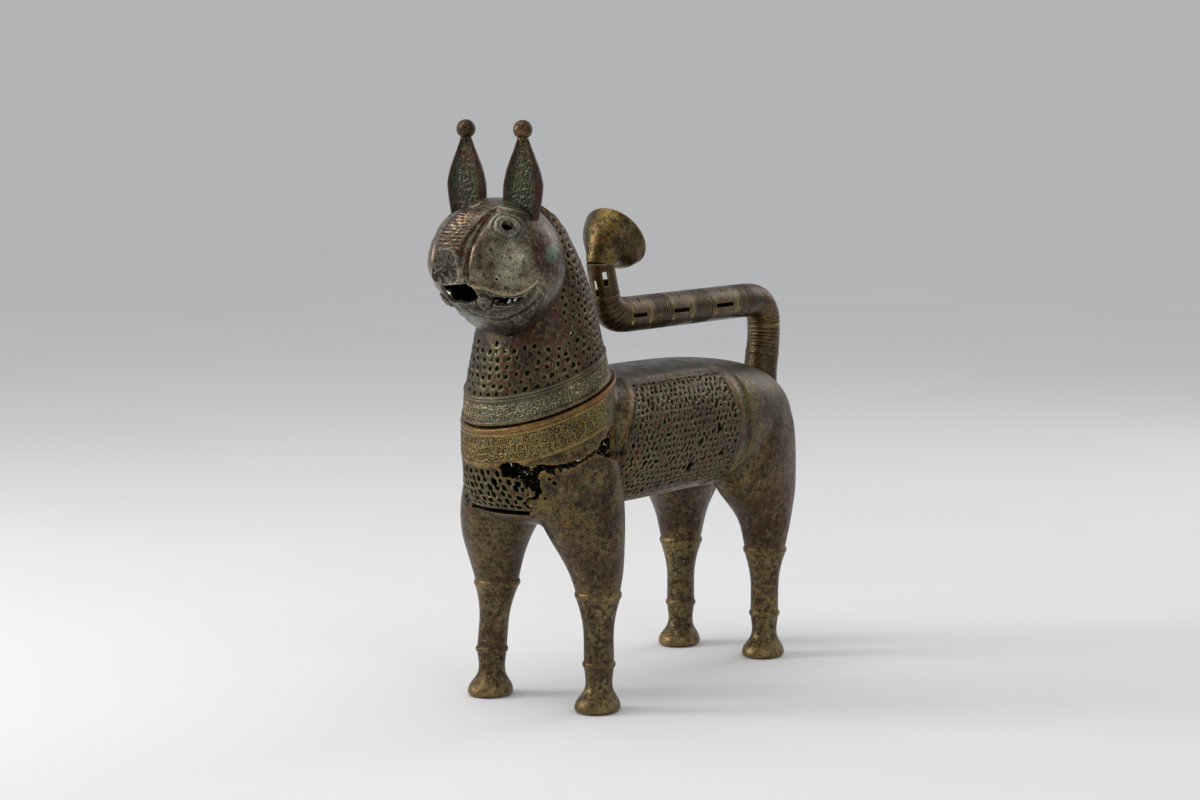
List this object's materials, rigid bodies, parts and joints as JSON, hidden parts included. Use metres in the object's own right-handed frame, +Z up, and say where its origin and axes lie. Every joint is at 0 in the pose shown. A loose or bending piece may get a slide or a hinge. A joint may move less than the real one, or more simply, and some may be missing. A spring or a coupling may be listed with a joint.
{
  "type": "incense burner",
  "caption": "Free-standing cast bronze lion incense burner with pierced flanks and neck, a lift-off head and a tubular tail handle.",
  "frame": {"origin": "centre of the overall box on the surface the four feet stand on", "axes": "+Z up, -Y the way the lion faces, +X the lion's left side"},
  "size_m": [0.1096, 0.345, 0.3514],
  "materials": {
    "bronze_body": "worn olive-brown bronze patina",
    "bronze_openwork": "pierced and chased bronze, red-brown patina",
    "bronze_legs": "smooth worn bronze patina",
    "bronze_band": "engraved bronze with green flecks",
    "bronze_head": "polished grey-brown bronze",
    "bronze_ears": "engraved dark bronze",
    "bronze_tail": "dark bronze with pale cut edges",
    "copper_collar": "red copper, worn"
  },
  "bodies": {
    "lion": {"body_shell": "bronze_body", "chest_openwork": "bronze_openwork", "left_flank_openwork": "bronze_openwork", "right_flank_openwork": "bronze_openwork", "neck_collar": "copper_collar", "left_front_leg": "bronze_legs", "right_front_leg": "bronze_legs", "left_rear_leg": "bronze_legs", "right_rear_leg": "bronze_legs", "tail_root": "bronze_tail", "tail_arm": "bronze_tail", "tail_stem": "bronze_tail", "tail_bell": "bronze_tail"},
    "head": {"neck_band": "bronze_band", "neck_openwork": "bronze_openwork", "head_shell": "bronze_head", "nose_ridge": "bronze_head", "nose_plate": "bronze_head", "crown_boss": "bronze_head", "left_eye_rim": "bronze_head", "left_fang": "bronze_head", "left_ear": "bronze_ears", "left_ear_knob": "bronze_ears", "right_eye_rim": "bronze_head", "right_fang": "bronze_head", "right_ear": "bronze_ears", "right_ear_knob": "bronze_ears"}
  },
  "joints": [
    {"name": "head_lift", "type": "slide", "parent": "lion", "child": "head", "axis": [0, 0, 1], "range_m": [0, 0.09]}
  ]
}
